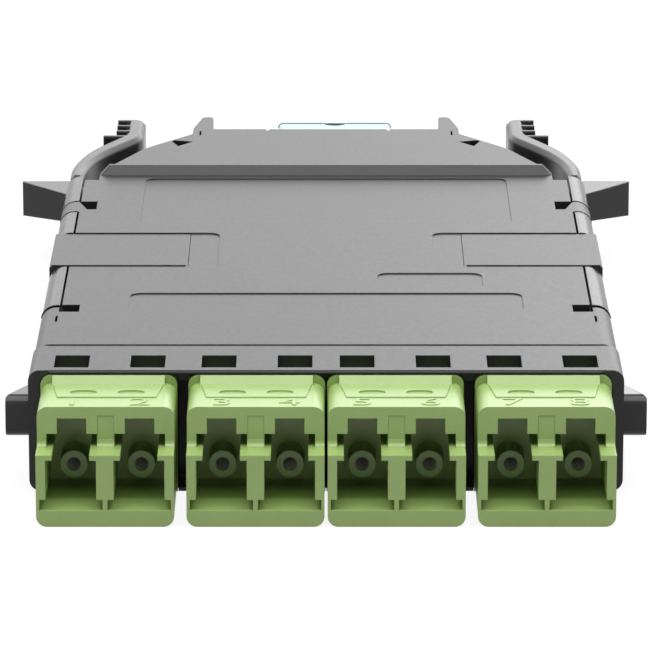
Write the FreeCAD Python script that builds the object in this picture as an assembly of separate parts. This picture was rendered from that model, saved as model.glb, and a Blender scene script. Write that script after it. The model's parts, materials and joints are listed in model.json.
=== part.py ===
"""Fibre cassette: four duplex LC adapters in front, one MPO adapter behind.

Millimetres, +Z up. The adapters face -Y and the cassette is symmetrical about X = 0,
apart from the MPO adapter, which sits a little to the right. The pieces are modelled
with Y = 0 on the front plane of the frame, and moved at the end so that the origin is
the centre of the footprint.
"""
import FreeCAD, Part
import math
import os

from FreeCAD import Vector

# Fits between pieces
FIT = 0.05
COVER_GAP = 0.22
KNUCKLE_GAP = 0.1

# Duplex LC adapter: the port that a plug goes into, measured from the cassette's underside
PORT_PITCH = 6.25
PORT_WIDTH = 4.65
PORT_FLOOR = 1.57
PORT_HEIGHT = 4.75
FLARE_WIDTH = 5.8
FLARE_HEIGHT = 1.0
THROAT_WIDTH = 3.42
RAIL_THICK = 0.49
SHOULDER_HEIGHT = 1.16
NOTCH_WIDTH = 2.69
NOTCH_HEIGHT = 1.47
CATCH_DEPTH = 1.3

# Duplex LC adapter: outside
ADAPTER_WIDTH = 12.65
NOSE_REACH = 11.2
NOSE_ROOF = 1.12
NOSE_CORNER = 1.0
STEP_BACK = 3.06
SHELF_FILLET = 0.6
FLANGE_EXTRA = 0.05
FLANGE_RISE = 0.78
FLANGE_LEAD = 0.14
FLANGE_DEPTH = 1.04
REAR_REACH = 11.4
REAR_DROP = 0.16
PARTITION = 1.0
RAMP_WIDTH = 10.5
RAMP_REACH = 0.85
RAMP_LAND = 0.2
PANEL_FRONT_WIDTH = 9.15
PANEL_BACK_WIDTH = 10.4
PANEL_REACH = 5.1
PANEL_RISE = 0.1
NOSE_SINK = 0.3
PIT_LENGTH = 2.55
PIT_WIDTH = 1.4
PIT_DEPTH = 0.15
PIT_OFFSET = 2.2
PIT_REACH = 3.6
PIT_END_SIDES = 4
POST_WIDTH = 1.5
POST_TOP = 9.7
POST_DEPTH = 0.06

# Ferrules and the split sleeves that line them up
FERRULE_D = 1.25
SLEEVE_PLAY = 0.02
SLEEVE_WALL = 0.2
SLEEVE_SLIT = 0.2
ROUND_SIDES = 8
HOLDER_SIDES = 16
FIBRE_SIDES = 4
HOLDER_WALL = 0.45
HOLDER_REACH = 3.2
HOLDER_LIP = 0.4

# LC plugs inside the cassette
PLUG_SIZE = 4.52
PLUG_LENGTH = 8.6
PLUG_NOSE_GAP = 0.3
LEVER_WIDTH = 2.3
LEVER_THICK = 0.6
LEVER_RISE = 2.4
LEVER_LENGTH = 7.8
SHOULDER_WIDTH = 4.3
SHOULDER_LENGTH = 1.2
LEVER_ROOT = 0.2
LEVER_SINK = 0.3
LEVER_START = 0.1
FERRULE_SEAT = 2.0
FERRULE_CHAMFER = 0.3
BOOT_LENGTH = 8.0
BOOT_COLLAR = 1.0
BOOT_START_D = 3.4
BOOT_END_D = 1.9
FIBRE_D = 0.9
FIBRE_BEND = 12.0

# Front frame
ADAPTER_GAP = 1.13
MIDDLE_GAP = 0.28
FRAME_SIDE = 1.17
FRAME_DEPTH = 8.81
RIM = 0.35
EDGE_ROUND = 1.1
SEAM = 0.15
DIVIDER_SETBACK = 3.7
WINDOW_WIDTH = 3.25
WINDOW_LENGTH = 4.16
WINDOW_SETBACK = 1.03
WINDOW_OFFSET = 3.56
WINDOW_SINK = 0.5
LUG_OUT = 2.25
LUG_HEIGHT = 4.0
LUG_BOTTOM = 4.7
LUG_FRONT = 1.6
LUG_LENGTH = 4.8
LUG_ROUND = 1.1
LUG_LAND = 0.4
LUG_SINK = 0.5

# Body: base and cover
BODY_INSET = 0.08
BODY_LENGTH = 68.0
WALL = 1.8
FLOOR = 1.2
LID = 1.23
RAIL_ROUND = 1.5
HOOD_DEPTH = 13.7
HOOD_GAP = 0.55
PARTING = 5.85
SHOULDER_SETBACK = 4.5
TAPER_MID_LENGTH = 8.71
TAPER_MID_HALF = 19.6
TAPER_LENGTH = 15.49
TAPER_HALF = 14.6
REAR_LENGTH = 17.77
REAR_HALF = 12.5
EAR_TIP_HALF = 13.65
EAR_REACH = 5.84
EAR_WAIST = 2.6
TAPER_MID_ROUND = 12.0
TAPER_ROUND = 1.2
EAR_WAIST_ROUND = 3.0
EAR_ROUND = 0.6
EAR_ROOT_ROUND = 0.4
RAISE = 0.91
STEP_RUN = 0.91
STEP_LAND = 0.5
STEP_SPREAD = 0.9
TAPER_WALL = 1.3
LEDGE = 0.7
LEDGE_HEIGHT = 0.8
LEDGE_SETBACK = 2.0
CRADLE_SETBACK = 1.0
CRADLE_THICK = 1.5
PAD_RISE = 0.8
SINK = 0.5

# Marks in the cover
LABEL_DEPTH = 0.11
LABEL_ROUND = 1.2
LABEL_HALF = 19.2
FRONT_LABEL_LENGTH = 6.0
FRONT_LABEL_SETBACK = 5.5
REAR_LABEL_LENGTH = 18.5
REAR_LABEL_SETBACK = 1.4
SMALL_LABEL_X = 10.3
SMALL_LABEL_WIDTH = 10.4
SMALL_LABEL_LENGTH = 5.1
SMALL_LABEL_SETBACK = 13.2

# Snap pockets along the cover's edges, and the tab that wraps over the rail
SNAP_WIDTH = 1.95
SNAP_DEPTH = 1.0
FRONT_SNAP_LENGTH = 2.6
FRONT_SNAP_LEAD = 1.6
REAR_SNAP_LENGTH = 3.4
SNAP_SLANT = 0.95
TAB_SETBACK = 11.8
TAB_LENGTH = 4.2
TAB_BOTTOM = 6.6
TAB_THICK = 1.0
TAB_GAP = 0.2
DASH_WIDTH = 0.22
DASH_LENGTH = 2.2
DASH_SETBACK = 3.1

# Pockets, slits and notches of the narrowing rear, measured from its rear corner
TAPER_POCKET_SPAN = (3.55, 4.1)
TAPER_POCKET_DEEP_SPAN = (2.9, 5.55)
TAPER_POCKET_WALL = 0.25
TAPER_POCKET_IN = 2.25
EAR_SLIT_X = 13.8
EAR_SLIT_WIDTH = 0.2
EAR_SLIT_LENGTH = 1.9
EAR_SLIT_LEAD = 0.6
REAR_NOTCH_X = (-6.4, 6.9)
REAR_NOTCH_WIDTH = 0.35
REAR_NOTCH_DEPTH = 0.6
CORNER_CUT_X = 24.2
CORNER_CUT_LENGTH = 2.1

# Side clips that hold base and cover together
CLIP_SETBACK = 15.95
CLIP_WIDTH = 13.3
CLIP_REACH = 13.85
CLIP_THICK = 0.55
CLIP_DROP = 0.1
CLIP_GAP = 0.15
CLIP_RECESS_REACH = 2.95
CLIP_RECESS_DEPTH = 0.12
CLIP_RECESS_ROUND = 1.2
CLIP_BOTTOM_ROUND = 0.3
CLIP_TOP_ROUND = 0.15

# Latch arms behind the body
ARM_ROOT_THICK = 1.45
ARM_THICK = 2.05
ARM_BEND_START = 6.6
ARM_SHIFT = 5.2
ARM_BEND_LENGTH = 10.8
ARM_LENGTH = 26.3
ARM_BEND = 27.0
ARM_TIP_BEND = 6.0
ARM_BOTTOM = 1.0
ARM_EDGE = 0.45
ARM_INSET = 0.35
ARM_SETBACK = 0.25
ARM_TIP_INNER_ROUND = 1.2
ARM_TIP_LEAD = 0.6
WEDGE_OUT = 5.8
WEDGE_BACK = 11.8
WEDGE_LENGTH = 7.6
WEDGE_BOTTOM = 4.32
WEDGE_HEIGHT = 3.82
WEDGE_LIFT = 0.95
WEDGE_EDGE = 0.35
WEDGE_SINK = 0.6
WEDGE_ROOT = 1.5
FIN_THICK = 0.55
FIN_PITCH = 2.5
FIN_COUNT = 4
FIN_OUT = 1.05
FIN_TIP_GAP = 0.35
FIN_LAST_OUT = 2.4
FIN_SINK = 1.0
FIN_BOTTOM_GAP = 1.5

# MPO adapter behind, and the plug in it
MPO_X = 0.98
MPO_WIDTH = 12.5
MPO_HEIGHT = 9.4
MPO_BOTTOM = 1.7
MPO_REACH = 9.59
MPO_INNER = 8.6
MPO_CORNER = 0.5
MPO_PORT_WIDTH = 9.9
MPO_PORT_HEIGHT = 6.6
MPO_KEY_WIDTH = 3.2
MPO_KEY_HEIGHT = 0.7
MPO_FLANGE = 1.4
MPO_FLANGE_THICK = 1.6
THUMB_RADIUS = 1.3
MT_PROUD = 0.6
MT_WIDTH = 6.4
MT_HEIGHT = 2.5
PIN_D = 0.7
PIN_PITCH = 4.6
PIN_OUT = 2.0
MPO_PLUG_WIDTH = 9.7
MPO_PLUG_HEIGHT = 6.4
MPO_PLUG_OVERLAP = 1.0
MPO_PLUG_SETBACK = 0.5
GRIP_LENGTH = 6.5
GRIP_WIDTH = 12.0
GRIP_HEIGHT = 7.6
MPO_BOOT_LENGTH = 6.0
MPO_BOOT_START_D = 3.8
MPO_BOOT_END_D = 6.2
TRUNK_D = 3.0
TRUNK_LENGTH = 3.0
BLOCK_LENGTH = 6.0
BLOCK_PITCH = 1.15
BLOCK_WALL = 0.8

# Sizes that follow
PORT_ROOF = PORT_FLOOR + PORT_HEIGHT
SHELF_Z = PORT_ROOF + RAIL_THICK
CHAMBER_Z = SHELF_Z + SHOULDER_HEIGHT
NOTCH_Z = CHAMBER_Z + NOTCH_HEIGHT
NOSE_TOP = NOTCH_Z + NOSE_ROOF
FLANGE_TOP = NOSE_TOP + FLANGE_RISE
HEIGHT = FLANGE_TOP + FIT + RIM
REAR_TOP = NOSE_TOP - REAR_DROP
FERRULE_Z = PORT_FLOOR + PORT_HEIGHT / 2
INNER_X = (ADAPTER_WIDTH + MIDDLE_GAP) / 2
OUTER_X = INNER_X + ADAPTER_WIDTH + ADAPTER_GAP
ADAPTER_X = (-OUTER_X, -INNER_X, INNER_X, OUTER_X)
PORT_X = tuple(x + side * PORT_PITCH / 2 for x in ADAPTER_X for side in (-1, 1))
NOSE_HALF = ADAPTER_WIDTH / 2
FLANGE_HALF = NOSE_HALF + FLANGE_EXTRA
REAR_HALF_WIDTH = NOSE_HALF - FIT
SPLIT = -FLANGE_LEAD
FLANGE_BACK = SPLIT + FLANGE_DEPTH
UPPER_FACE = STEP_BACK - NOSE_REACH
FRAME_HALF = OUTER_X + FLANGE_HALF + FRAME_SIDE
SLEEVE_BORE = FERRULE_D / 2 + SLEEVE_PLAY
SLEEVE_R = SLEEVE_BORE + SLEEVE_WALL
HOLDER_BORE = SLEEVE_R + SLEEVE_PLAY
HOLDER_R = HOLDER_BORE + HOLDER_WALL
PLUG_NOSE = SPLIT + PARTITION + HOLDER_REACH + PLUG_NOSE_GAP
PLUG_TAIL = PLUG_NOSE + PLUG_LENGTH
BOOT_END = PLUG_TAIL + BOOT_LENGTH

BODY_HALF = FRAME_HALF - BODY_INSET
INSIDE_HALF = BODY_HALF - WALL
POCKET_HALF = OUTER_X + NOSE_HALF
BODY_FRONT = FRAME_DEPTH
BODY_BACK = FRAME_DEPTH + BODY_LENGTH
POCKET_BACK = REAR_REACH + 4 * FIT
HOOD_BACK = BODY_FRONT + HOOD_DEPTH
LID_Z = HEIGHT - LID
COVER_HALF = INSIDE_HALF - COVER_GAP
SHOULDER_X = BODY_HALF - SHOULDER_SETBACK
REAR = BODY_BACK + REAR_LENGTH
RAISED_TOP = HEIGHT + RAISE
CLIP_FRONT = HOOD_BACK + CLIP_SETBACK
CLIP_BACK = CLIP_FRONT + CLIP_WIDTH
TAB_BACK = BODY_BACK - TAB_SETBACK
TAB_FRONT = TAB_BACK - TAB_LENGTH

MPO_Z = MPO_BOTTOM + MPO_HEIGHT / 2
MPO_SPLIT = REAR + FIT
MPO_BACK = MPO_SPLIT + MPO_REACH
MPO_FRONT = MPO_SPLIT - MPO_INNER
MT_FACE = MPO_SPLIT + MT_PROUD
GRIP_FRONT = MPO_FRONT - GRIP_LENGTH
MPO_BOOT_FRONT = GRIP_FRONT - MPO_BOOT_LENGTH
BLOCK_BACK = MPO_BOOT_FRONT - TRUNK_LENGTH
BLOCK_FRONT = BLOCK_BACK - BLOCK_LENGTH
BLOCK_HALF = BLOCK_PITCH * 4 + BLOCK_WALL

PIVOT_X = BODY_HALF - ARM_INSET - ARM_ROOT_THICK / 2
PIVOT_Y = BODY_BACK + ARM_SETBACK
ORIGIN_Y = (MPO_BACK - NOSE_REACH) / 2
FAR = 200.0


def block(x0, x1, y0, y1, z0, z1):
    """Box between two corners."""
    return Part.makeBox(x1 - x0, y1 - y0, z1 - z0, Vector(x0, y0, z0))


def corner_arc(before, corner, after, radius):
    """The two tangent points and the middle of the arc that rounds one corner."""
    to_before = (before - corner).normalize()
    to_after = (after - corner).normalize()
    half = to_before.getAngle(to_after) / 2
    start = corner + to_before * (radius / math.tan(half))
    end = corner + to_after * (radius / math.tan(half))
    inward = (to_before + to_after).normalize()
    middle = corner + inward * (radius / math.sin(half) - radius)
    return start, middle, end


def outline(points, place):
    """Closed wire through (a, b, corner radius) points."""
    corners = [place(a, b) for a, b, r in points]
    count = len(points)
    edges = []
    starts = []
    for i, (a, b, r) in enumerate(points):
        if r > 0:
            starts.append(corner_arc(corners[i - 1], corners[i], corners[(i + 1) % count], r))
        else:
            starts.append((corners[i], None, corners[i]))
    for i, (start, middle, end) in enumerate(starts):
        if middle is not None:
            edges.append(Part.Arc(start, middle, end).toShape())
        following = starts[(i + 1) % count][0]
        if (following - end).Length > 1e-6:
            edges.append(Part.LineSegment(end, following).toShape())
    return Part.Wire(edges)


def prism(points, axis, low, high):
    """Solid between low and high along one axis, over an outline in the other two axes."""
    places = {
        "X": lambda a, b: Vector(low, a, b),
        "Y": lambda a, b: Vector(a, low, b),
        "Z": lambda a, b: Vector(a, b, low),
    }
    along = {"X": Vector(1, 0, 0), "Y": Vector(0, 1, 0), "Z": Vector(0, 0, 1)}[axis]
    return Part.Face(outline(points, places[axis])).extrude(along * (high - low))


def rectangle(a0, a1, b0, b1, low_r, high_r=None):
    """Corner points of a rectangle with one radius below and one above."""
    top_r = low_r if high_r is None else high_r
    return [(a0, b0, low_r), (a1, b0, low_r), (a1, b1, top_r), (a0, b1, top_r)]


def ring(x, z, radius, sides):
    """Corner points of a round section drawn with flat sides."""
    turns = [2 * math.pi * i / sides for i in range(sides)]
    return [(x + radius * math.cos(turn), z + radius * math.sin(turn), 0) for turn in turns]


def rod(x, z, radius, y0, y1, sides=ROUND_SIDES):
    """Round bar along Y."""
    return prism(ring(x, z, radius, sides), "Y", y0, y1)


def taper(x, z, front_r, back_r, y0, y1):
    """Round bar along Y that narrows or widens."""
    front = [Vector(a, y0, b) for a, b, r in ring(x, z, front_r, ROUND_SIDES)]
    back = [Vector(a, y1, b) for a, b, r in ring(x, z, back_r, ROUND_SIDES)]
    sides = [front, back[::-1]]
    for i in range(ROUND_SIDES):
        sides.append([front[i], front[i - 1], back[i - 1], back[i]])
    return Part.Solid(Part.Shell([Part.Face(Part.makePolygon(side, True)) for side in sides]))


def join(shapes):
    """One solid from pieces that overlap."""
    whole = shapes[0].fuse(shapes[1:])
    return whole.removeSplitter()


def mirrored(shape):
    """The same piece on the other side."""
    return shape.mirror(Vector(0, 0, 0), Vector(1, 0, 0))


def port_mouth(x):
    """Front view of an LC port: flared floor, plug body, throat, shoulders and latch notch."""
    steps = (
        (FLARE_WIDTH, PORT_FLOOR, PORT_FLOOR + FLARE_HEIGHT),
        (PORT_WIDTH, PORT_FLOOR + FLARE_HEIGHT, PORT_ROOF),
        (THROAT_WIDTH, PORT_ROOF, SHELF_Z),
        (PORT_WIDTH, SHELF_Z, CHAMBER_Z),
        (NOTCH_WIDTH, CHAMBER_Z, NOTCH_Z),
    )
    right = []
    for width, low, high in steps:
        right += [(x + width / 2, low, 0), (x + width / 2, high, 0)]
    left = [(2 * x - a, b, r) for a, b, r in reversed(right)]
    return right + left


def port_cut(x, mouth_y, inner_y):
    """Space of one LC port from its mouth to the partition; behind the catch it is wider."""
    way = 1 if inner_y > mouth_y else -1
    low, high = sorted((mouth_y - way, inner_y))
    hollow = prism(port_mouth(x), "Y", low, high)
    behind = sorted((mouth_y + way * CATCH_DEPTH, inner_y))
    chamber = block(x - PORT_WIDTH / 2, x + PORT_WIDTH / 2, behind[0], behind[1], SHELF_Z, NOTCH_Z)
    return hollow.fuse(chamber)


def sleeve_holder(x, partition_y, tip_y, sides):
    """Tube on the partition that holds half of a split sleeve, with its bore to cut."""
    low, high = sorted((partition_y, tip_y))
    tube = rod(x, FERRULE_Z, HOLDER_R, low, high, sides)
    way = 1 if tip_y > partition_y else -1
    bore_low, bore_high = sorted((SPLIT, tip_y - way * HOLDER_LIP))
    bore = rod(x, FERRULE_Z, HOLDER_BORE, bore_low, bore_high, sides)
    lip = rod(x, FERRULE_Z, SLEEVE_BORE, min(low, SPLIT) - 1, max(high, SPLIT) + 1, sides)
    return tube, bore.fuse(lip)


def roof_ramp(x):
    """Slope that lifts the nose's roof to the flange."""
    start = SPLIT - RAMP_REACH
    section = [
        (start, NOSE_TOP, 0),
        (SPLIT - RAMP_LAND, FLANGE_TOP, 0),
        (SPLIT, FLANGE_TOP, 0),
        (SPLIT, NOSE_TOP - NOSE_SINK, 0),
        (start, NOSE_TOP - NOSE_SINK, 0),
    ]
    return prism(section, "X", x - RAMP_WIDTH / 2, x + RAMP_WIDTH / 2)


def roof_panel(x):
    """Low raised panel on the nose's roof."""
    front = PANEL_FRONT_WIDTH / 2
    back = PANEL_BACK_WIDTH / 2
    plan = [
        (x - front, -PANEL_REACH, 0),
        (x + front, -PANEL_REACH, 0),
        (x + back, SPLIT - RAMP_REACH / 2, 0),
        (x - back, SPLIT - RAMP_REACH / 2, 0),
    ]
    return prism(plan, "Z", NOSE_TOP - NOSE_SINK, NOSE_TOP + PANEL_RISE)


def roof_pit(x):
    """Obround pit in the raised panel, its ends drawn with flat sides."""
    radius = PIT_WIDTH / 2
    points = []
    for centre, turn in ((PIT_LENGTH / 2 - radius, -90), (radius - PIT_LENGTH / 2, 90)):
        for step in range(PIT_END_SIDES + 1):
            angle = math.radians(turn + 180 * step / PIT_END_SIDES)
            points.append((x + centre + radius * math.cos(angle), -PIT_REACH + radius * math.sin(angle), 0))
    return prism(points, "Z", NOSE_TOP + PANEL_RISE - PIT_DEPTH, HEIGHT + 1)


def shelf_edge(edge):
    """True for the inner edge between the shelf and the set-back upper face."""
    box = edge.BoundBox
    level = abs(box.ZMin - SHELF_Z) < 1e-4 and abs(box.ZMax - SHELF_Z) < 1e-4
    return level and abs(box.YMin - UPPER_FACE) < 1e-4 and abs(box.YMax - UPPER_FACE) < 1e-4


def adapter_nose(x):
    """Front half of a duplex adapter, from the plug mouths to the flange."""
    upper = prism(rectangle(x - NOSE_HALF, x + NOSE_HALF, 0, NOSE_TOP, NOSE_CORNER), "Y", UPPER_FACE, SPLIT)
    lower_face = rectangle(x - NOSE_HALF, x + NOSE_HALF, 0, SHELF_Z, NOSE_CORNER, 0)
    lower = prism(lower_face, "Y", -NOSE_REACH, SPLIT)
    nose = join([upper, lower])
    nose = nose.makeFillet(SHELF_FILLET, [e for e in nose.Edges if shelf_edge(e)])
    nose = join([nose, roof_ramp(x), roof_panel(x)])
    for side in (-1, 1):
        port_x = x + side * PORT_PITCH / 2
        lower_mouth = port_cut(port_x, UPPER_FACE, SPLIT - PARTITION)
        shelf_cut = prism(port_mouth(port_x), "Y", -NOSE_REACH - 1, UPPER_FACE)
        nose = nose.cut([lower_mouth, shelf_cut, roof_pit(x + side * PIT_OFFSET)])
        tube, bore = sleeve_holder(port_x, SPLIT - PARTITION, SPLIT - PARTITION - HOLDER_REACH,
                                   HOLDER_SIDES)
        nose = nose.fuse(tube).cut(bore)
    post = block(x - POST_WIDTH / 2, x + POST_WIDTH / 2, UPPER_FACE - 1, UPPER_FACE + POST_DEPTH,
                 SHELF_Z + SHELF_FILLET, POST_TOP)
    return nose.cut(post).removeSplitter()


def adapter_tail(x):
    """Rear half of a duplex adapter, with the flange that fills the frame's mouth."""
    flange = prism(rectangle(x - FLANGE_HALF, x + FLANGE_HALF, 0, FLANGE_TOP, 0, NOSE_CORNER), "Y",
                   SPLIT, FLANGE_BACK)
    body = block(x - REAR_HALF_WIDTH, x + REAR_HALF_WIDTH, FLANGE_BACK, REAR_REACH, RIM + FIT, REAR_TOP)
    tail = join([flange, body])
    for side in (-1, 1):
        port_x = x + side * PORT_PITCH / 2
        tail = tail.cut(port_cut(port_x, REAR_REACH, SPLIT + PARTITION))
        tube, bore = sleeve_holder(port_x, SPLIT + PARTITION, SPLIT + PARTITION + HOLDER_REACH,
                                   ROUND_SIDES)
        tail = tail.fuse(tube).cut(bore)
    return tail.removeSplitter()


def split_sleeves(x):
    """The two slit ceramic sleeves of one adapter."""
    end = PARTITION + HOLDER_REACH - HOLDER_LIP - FIT
    sleeves = []
    for side in (-1, 1):
        port_x = x + side * PORT_PITCH / 2
        tube = rod(port_x, FERRULE_Z, SLEEVE_R, SPLIT - end, SPLIT + end)
        bore = rod(port_x, FERRULE_Z, SLEEVE_BORE, SPLIT - end - 1, SPLIT + end + 1)
        slit = block(port_x - SLEEVE_SLIT / 2, port_x + SLEEVE_SLIT / 2, SPLIT - end - 1, SPLIT + end + 1,
                     FERRULE_Z, FERRULE_Z + 2)
        sleeves.append(tube.cut(bore).cut(slit))
    return Part.Compound(sleeves)


def lc_plug(x):
    """Plug housing with its latch lever and shoulders."""
    half = PLUG_SIZE / 2
    body = block(x - half, x + half, PLUG_NOSE, PLUG_TAIL, FERRULE_Z - half, FERRULE_Z + half)
    top = FERRULE_Z + half
    root = PLUG_NOSE + LEVER_ROOT
    lever_section = [
        (root, top - LEVER_SINK, 0),
        (root, top + LEVER_START, 0),
        (root + LEVER_LENGTH, top + LEVER_RISE, 0),
        (root + LEVER_LENGTH, top + LEVER_RISE - LEVER_THICK, 0),
        (root + 2 * LEVER_THICK, top - LEVER_SINK, 0),
    ]
    lever = prism(lever_section, "X", x - LEVER_WIDTH / 2, x + LEVER_WIDTH / 2)
    catch_y = REAR_REACH - CATCH_DEPTH - FIT
    slope = (LEVER_RISE - LEVER_START) / LEVER_LENGTH
    catch_z = top + LEVER_START + (catch_y - SHOULDER_LENGTH - root) * slope
    shoulders = block(x - SHOULDER_WIDTH / 2, x + SHOULDER_WIDTH / 2, catch_y - SHOULDER_LENGTH, catch_y,
                      catch_z - LEVER_THICK / 2, catch_z + LEVER_THICK / 2)
    plug = join([body, lever, shoulders])
    return plug.cut(rod(x, FERRULE_Z, SLEEVE_BORE, PLUG_NOSE - 1, PLUG_TAIL - FERRULE_SEAT))


def lc_ferrule(x):
    """Ceramic ferrule that meets the one of the outer plug at the adapter's middle."""
    radius = FERRULE_D / 2
    shank = SPLIT + FERRULE_CHAMFER
    tip = taper(x, FERRULE_Z, radius - FERRULE_CHAMFER / 2, radius, SPLIT, shank)
    return join([tip, rod(x, FERRULE_Z, radius, shank, PLUG_TAIL - FERRULE_SEAT)])


def lc_boot(x):
    """Tapered rubber boot behind a plug."""
    start = PLUG_TAIL + BOOT_COLLAR
    collar = rod(x, FERRULE_Z, BOOT_START_D / 2, PLUG_TAIL, start)
    return join([collar, taper(x, FERRULE_Z, BOOT_START_D / 2, BOOT_END_D / 2, start, BOOT_END)])


def fibre_route(x_start, x_end, y_start, y_end):
    """Two equal bends joined by a straight, both ends along +Y."""
    shift = abs(x_end - x_start)
    side = 1 if x_end > x_start else -1
    reach = y_end - y_start
    if shift < 0.05:
        return Part.Wire([Part.LineSegment(Vector(x_start, y_start, FERRULE_Z),
                                           Vector(x_start, y_end, FERRULE_Z)).toShape()])
    centres = math.hypot(shift - 2 * FIBRE_BEND, reach)
    turn = math.atan2(shift - 2 * FIBRE_BEND, reach) + math.asin(2 * FIBRE_BEND / centres)

    def bend_point(angle):
        """Point of the first bend, as shift and reach."""
        return FIBRE_BEND * (1 - math.cos(angle)), FIBRE_BEND * math.sin(angle)

    def spot(across, along):
        return Vector(x_start + side * across, y_start + along, FERRULE_Z)

    first = [spot(*bend_point(turn * share)) for share in (0, 0.5, 1)]
    second = []
    for share in (1, 0.5, 0):
        across, along = bend_point(turn * share)
        second.append(spot(shift - across, reach - along))
    return Part.Wire([
        Part.Arc(*first).toShape(),
        Part.LineSegment(first[2], second[0]).toShape(),
        Part.Arc(*second).toShape(),
    ])


def fibre(index):
    """Jacketed fibre from a plug's boot to the transition block."""
    x_start = PORT_X[index]
    x_end = MPO_X + (index - 3.5) * BLOCK_PITCH
    route = fibre_route(x_start, x_end, BOOT_END, BLOCK_FRONT)
    section = ring(x_start, FERRULE_Z, FIBRE_D / 2, FIBRE_SIDES)
    start = Part.makePolygon([Vector(a, BOOT_END, b) for a, b, r in section], True)
    return route.makePipeShell([start], True, True)


def lug():
    """Left guide lug: a nose rounded above and below that narrows back into the frame's side."""
    plan = [
        (-FRAME_HALF + LUG_SINK, LUG_FRONT, 0),
        (-FRAME_HALF + LUG_SINK, LUG_FRONT + LUG_LENGTH + LUG_SINK, 0),
        (-FRAME_HALF, LUG_FRONT + LUG_LENGTH, 0),
        (-FRAME_HALF - LUG_OUT, LUG_FRONT + LUG_LAND, 0),
        (-FRAME_HALF - LUG_OUT, LUG_FRONT, 0),
    ]
    solid = prism(plan, "Z", LUG_BOTTOM, LUG_BOTTOM + LUG_HEIGHT)
    side_view = [
        (LUG_FRONT, LUG_BOTTOM, LUG_ROUND),
        (FRAME_DEPTH, LUG_BOTTOM, 0),
        (FRAME_DEPTH, LUG_BOTTOM + LUG_HEIGHT, 0),
        (LUG_FRONT, LUG_BOTTOM + LUG_HEIGHT, LUG_ROUND),
    ]
    return solid.common(prism(side_view, "X", -FRAME_HALF - LUG_OUT - 1, 0))


def front_frame():
    """Frame that carries the four adapters, with a snap window pair above each."""
    body = prism(rectangle(-FRAME_HALF, FRAME_HALF, 0, HEIGHT, EDGE_ROUND), "Y", 0, FRAME_DEPTH - SEAM)
    back = prism(rectangle(SEAM - FRAME_HALF, FRAME_HALF - SEAM, SEAM, HEIGHT - SEAM, EDGE_ROUND - SEAM), "Y",
                 FRAME_DEPTH - 2 * SEAM, FRAME_DEPTH)
    left_lug = lug()
    body = join([body, back, left_lug, mirrored(left_lug)])
    mouth_half = OUTER_X + FLANGE_HALF + FIT
    body_half = OUTER_X + NOSE_HALF
    mouth_round = NOSE_CORNER + FIT
    cuts = [
        prism(rectangle(-mouth_half, mouth_half, RIM, FLANGE_TOP + FIT, 0, mouth_round), "Y",
              -1, FLANGE_BACK + FIT),
        block(-body_half, body_half, 0, DIVIDER_SETBACK, RIM, REAR_TOP + FIT),
    ]
    for x in ADAPTER_X:
        cuts.append(block(x - NOSE_HALF, x + NOSE_HALF, 0, FRAME_DEPTH + 1, RIM, REAR_TOP + FIT))
        cuts.append(block(x - FLANGE_HALF - FIT, x + FLANGE_HALF + FIT, -1, FLANGE_BACK + FIT,
                          -1, PORT_FLOOR))
        for side in (-1, 1):
            window_x = x + side * WINDOW_OFFSET
            cuts.append(block(window_x - WINDOW_WIDTH / 2, window_x + WINDOW_WIDTH / 2, WINDOW_SETBACK,
                              WINDOW_SETBACK + WINDOW_LENGTH, REAR_TOP - WINDOW_SINK, HEIGHT + 1))
    return body.cut(cuts)


def taper_outline(inset=0.0):
    """Plan of the narrowing rear of the body, drawn in by a wall when inset is given."""
    if inset:
        half = [
            (SHOULDER_X - inset, BODY_BACK + inset, 0),
            (TAPER_MID_HALF - inset, BODY_BACK + TAPER_MID_LENGTH, 0),
            (TAPER_HALF - inset, BODY_BACK + TAPER_LENGTH, 0),
            (REAR_HALF - inset, REAR - inset, 0),
        ]
    else:
        half = [
            (SHOULDER_X, BODY_BACK, 0),
            (TAPER_MID_HALF, BODY_BACK + TAPER_MID_LENGTH, TAPER_MID_ROUND),
            (TAPER_HALF, BODY_BACK + TAPER_LENGTH, TAPER_ROUND),
            (TAPER_HALF, BODY_BACK + TAPER_LENGTH + EAR_WAIST, EAR_WAIST_ROUND),
            (EAR_TIP_HALF, REAR + EAR_REACH, EAR_ROUND),
            (REAR_HALF, REAR + EAR_REACH, EAR_ROUND),
            (REAR_HALF, REAR, EAR_ROOT_ROUND),
        ]
    return half + [(-a, b, r) for a, b, r in reversed(half)]


def mpo_seat():
    """Space for the MPO adapter in the rear wall."""
    half = MPO_WIDTH / 2 + FIT
    return block(MPO_X - half, MPO_X + half, REAR - TAPER_WALL - 1, REAR + 1, MPO_BOTTOM - FIT,
                 MPO_BOTTOM + MPO_HEIGHT + FIT)


def clip_recess():
    """Space that the left clip needs in the body, with the shallow run-out on top of the cover."""
    y0, y1 = CLIP_FRONT - CLIP_GAP, CLIP_BACK + CLIP_GAP
    inner = -BODY_HALF + CLIP_REACH + FIT
    top_z = HEIGHT - CLIP_DROP - CLIP_THICK
    clip_top = block(-BODY_HALF - 1, inner, y0, y1, top_z, HEIGHT + 2)
    run_out = [
        (-BODY_HALF - 1, y0, 0),
        (inner + CLIP_RECESS_REACH, y0, 0),
        (inner + CLIP_RECESS_REACH, y1, CLIP_RECESS_ROUND),
        (-BODY_HALF - 1, y1, 0),
    ]
    top = prism(run_out, "Z", HEIGHT - CLIP_RECESS_DEPTH, HEIGHT + 2).fuse(clip_top)
    side = block(-BODY_HALF - 1, -BODY_HALF + CLIP_THICK, y0, y1, -1, HEIGHT + 2)
    bottom = block(-BODY_HALF - 1, inner, y0, y1, -1, CLIP_THICK + FIT)
    return top.fuse([side, bottom])


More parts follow.
